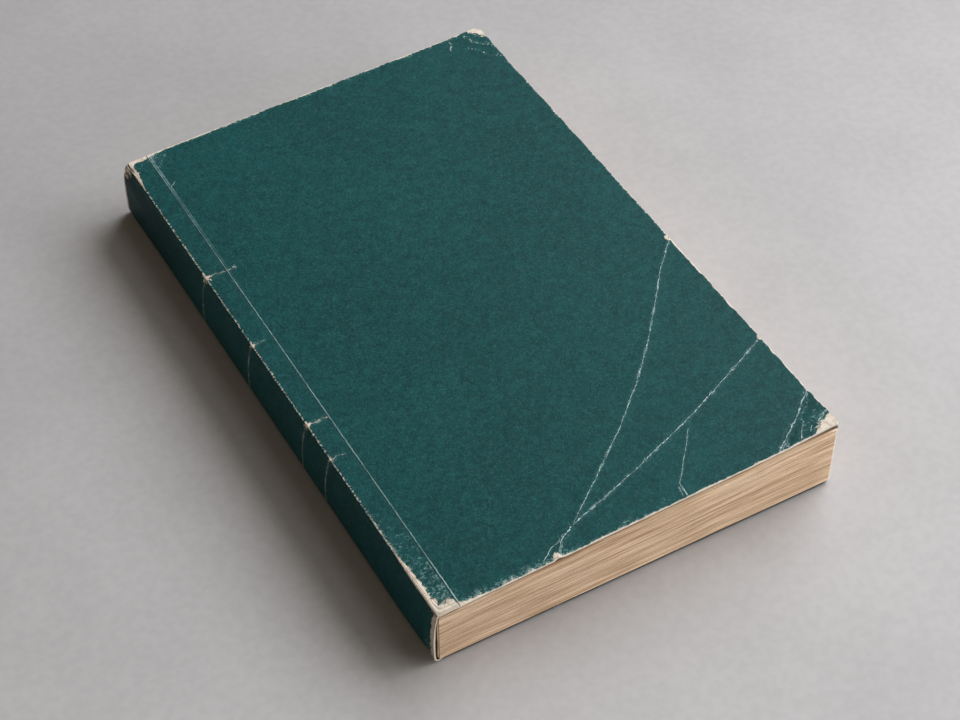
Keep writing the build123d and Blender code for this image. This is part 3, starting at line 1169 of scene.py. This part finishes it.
# floor, light and camera
studio = {
    "floorDrop": 0.57,  # mm: an opened back cover lies just above the floor
    "floorColour": (0.476, 0.474, 0.489, 1),
    "lamps": {
        # azimuth and elevation in degrees, distance and size in metres, watts, colour
        "keyLight": ((100, 37), 1.45, (2.17, 1.02), 34.7, (0.985, 0.99, 1.0)),
        "topLight": ((92, 68), 1.2, (0.7, 0.5), 1.6, (1.0, 0.98, 0.96)),
        "fillLight": ((44, 12), 1.0, (0.7, 0.5), 5.2, (1.0, 0.985, 0.965)),
    },
    "sky": 0.135,
    "skyColour": (1.0, 0.81, 0.58, 1),
    "farFloor": (0.32, 0.8),  # metres: the floor fades into the backdrop between these distances
}
# the camera fitted to the book's corners in the photo: mm and degrees
shot = {"aim": (0.844, -10.0, 0.0), "azimuth": -29.54, "elevation": 46.58, "distance": 576.6, "lens": 82.39}


def directionFrom(azimuth, elevation):
    a, e = math.radians(azimuth), math.radians(elevation)
    return Vector((math.sin(a) * math.cos(e), -math.cos(a) * math.cos(e), math.sin(e)))


def mixInto(share, first, second, output):
    feed(output.inputs["Surface"], addFed("MixShader", share, first.outputs[0], second.outputs[0])[0])


def seenRays():  # what the camera sees, also in glossy and clear things
    outputs = addNode("LightPath").outputs
    return most(outputs["Is Camera Ray"], outputs["Is Glossy Ray"], outputs["Is Transmission Ray"])


def makeFloor():
    clearSelection()
    bpy.ops.mesh.primitive_grid_add(x_subdivisions=8, y_subdivisions=8, size=6, location=(0, 0, 0))
    floor = named("floor")
    for vertex in floor.data.vertices:
        vertex.co.z = -studio["floorDrop"] * mm
    material, shader = startMaterial("paleFloor", 0.9, 0.0)
    coords = addNode("TexCoord").outputs["Object"]
    cloud = patchy(coords, 22, 4, 0.3, 0.7, 0.965, 1.03, roughness=0.55)
    # painted light falloff: the floor darker towards the back (+Y)
    cloud = times(cloud, between(split(coords)[1], -0.15, 0.19, 1.025, 0.84))
    speck = patchy(coords, 420, 3, 0.3, 0.7, 0.97, 1.03)
    colour = addNode("Mix", data_type="RGBA", blend_type="MULTIPLY")
    colour.inputs[0].default_value = 1
    colour.inputs[6].default_value = studio["floorColour"]
    feed(colour.inputs[7], times(cloud, speck))
    feed(shader.inputs["Base Color"], colour.outputs[2])
    far = between(vectorCalc("LENGTH", coords), *studio["farFloor"])
    glow = addNode("Emission")
    glow.inputs["Color"].default_value = studio["floorColour"]
    mixInto(times(far, seenRays()), shader, glow, material.node_tree.nodes["Material Output"])
    floor.data.materials.append(material)


def makeLights():
    clearSelection()
    for name, (comesFrom, distance, size, power, colour) in studio["lamps"].items():
        bpy.ops.object.light_add(type="AREA", location=directionFrom(*comesFrom) * distance)
        lamp = bpy.context.object
        lamp.name = name
        lamp.data.shape = "ELLIPSE"
        lamp.data.size, lamp.data.size_y = size
        lamp.data.energy = power
        lamp.data.color = colour
        lamp.rotation_euler = (-lamp.location).to_track_quat("-Z", "Y").to_euler()
    world = bpy.data.worlds.new("studioWorld")
    bpy.context.scene.world = world
    world.use_nodes = True
    work["tree"] = world.node_tree
    sky = world.node_tree.nodes["Background"]
    sky.inputs["Color"].default_value = studio["skyColour"]
    sky.inputs["Strength"].default_value = studio["sky"]
    backdrop = addNode("Background")
    backdrop.inputs["Color"].default_value = studio["floorColour"]
    mixInto(seenRays(), sky, backdrop, world.node_tree.nodes["World Output"])


def makeCamera():
    clearSelection()
    aim = Vector(shot["aim"]) * mm
    away = directionFrom(shot["azimuth"], shot["elevation"])
    bpy.ops.object.camera_add(location=aim + away * shot["distance"] * mm)
    camera = bpy.context.object
    camera.data.sensor_width = 36
    camera.data.lens = shot["lens"]
    camera.data.clip_start = 0.01
    camera.rotation_euler = (-away).to_track_quat("-Z", "Y").to_euler()
    bpy.context.scene.camera = camera


makeFloor()
makeLights()
makeCamera()
bpy.context.scene.view_settings.view_transform = "Standard"
clearSelection()
print("floor, light and camera made")

bpy.context.view_layer.update()
